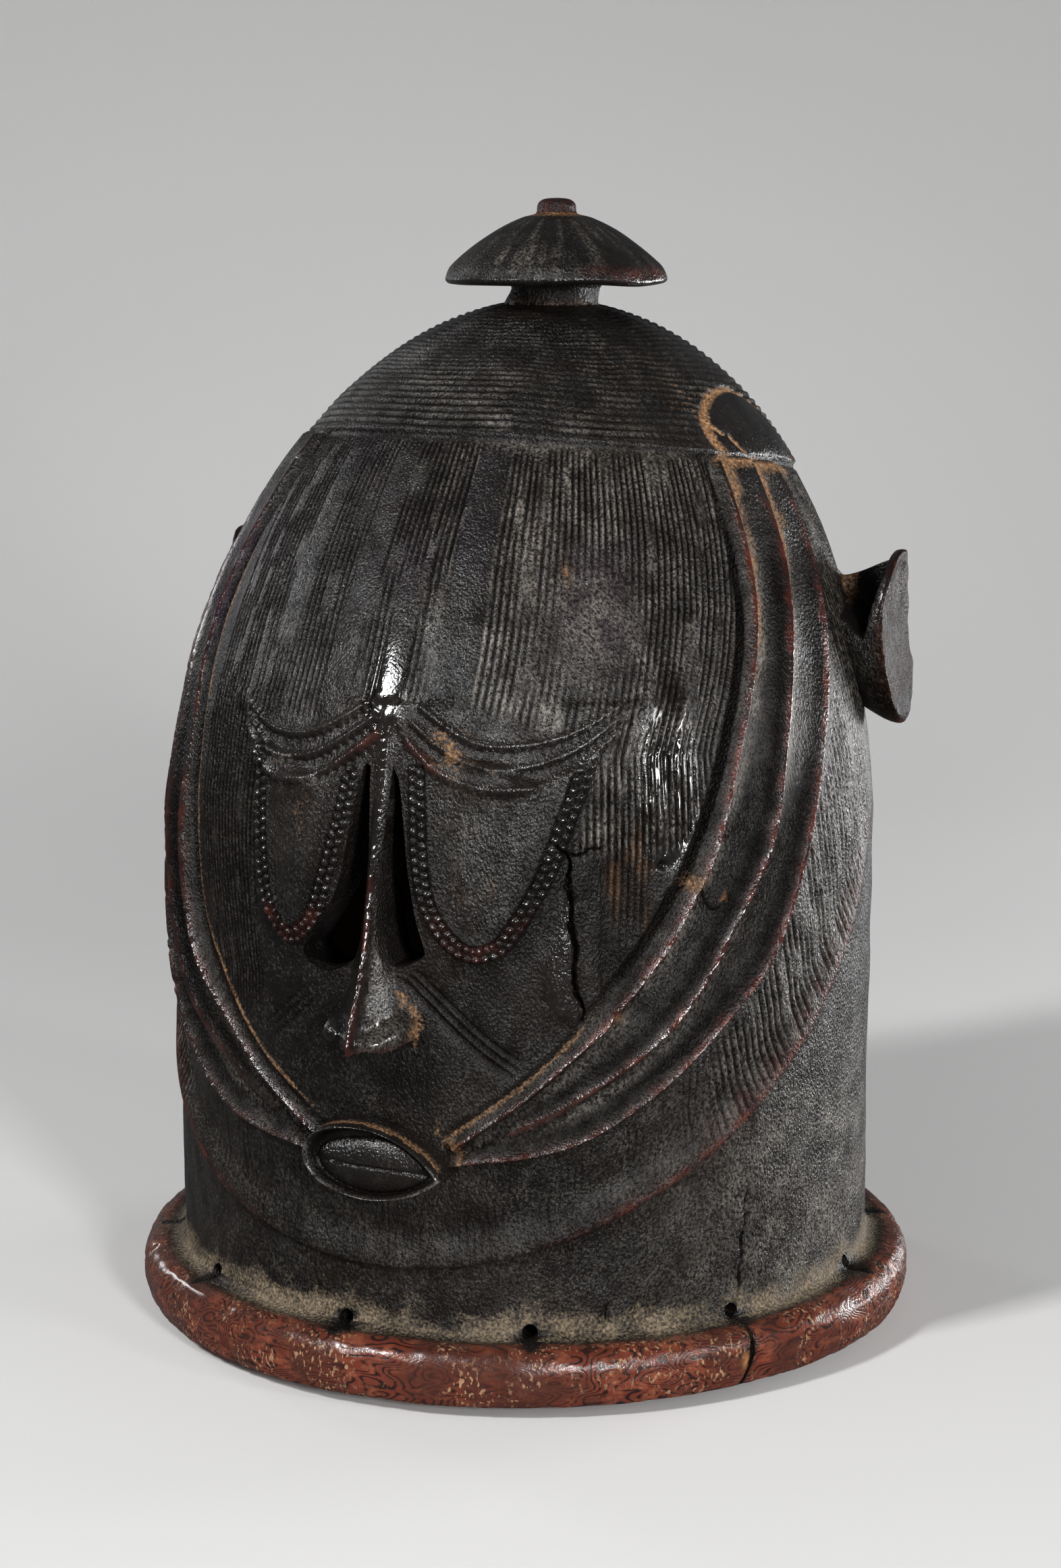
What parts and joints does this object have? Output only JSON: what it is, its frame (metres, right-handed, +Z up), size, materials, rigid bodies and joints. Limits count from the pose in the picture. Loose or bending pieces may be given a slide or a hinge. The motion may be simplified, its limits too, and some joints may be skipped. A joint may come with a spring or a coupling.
{
  "type": "helmet mask",
  "caption": "Hollow wooden helmet mask with a carved face in a ridged frame, ears, ribbed cap, finial and a flanged foot.",
  "frame": {"origin": "on the ground, at the middle of the mask's bounding box", "axes": "+Z up to the finial, the face looks along -Y, +X points to the mask's left ear"},
  "size_m": [0.2994, 0.316, 0.4232],
  "materials": {
    "carved_wood": "dark handled patina, half gloss on the ridges, red brown wear and pale dust in the hollows"
  },
  "bodies": {
    "root": {"carved_mask": "carved_wood"}
  },
  "joints": []
}
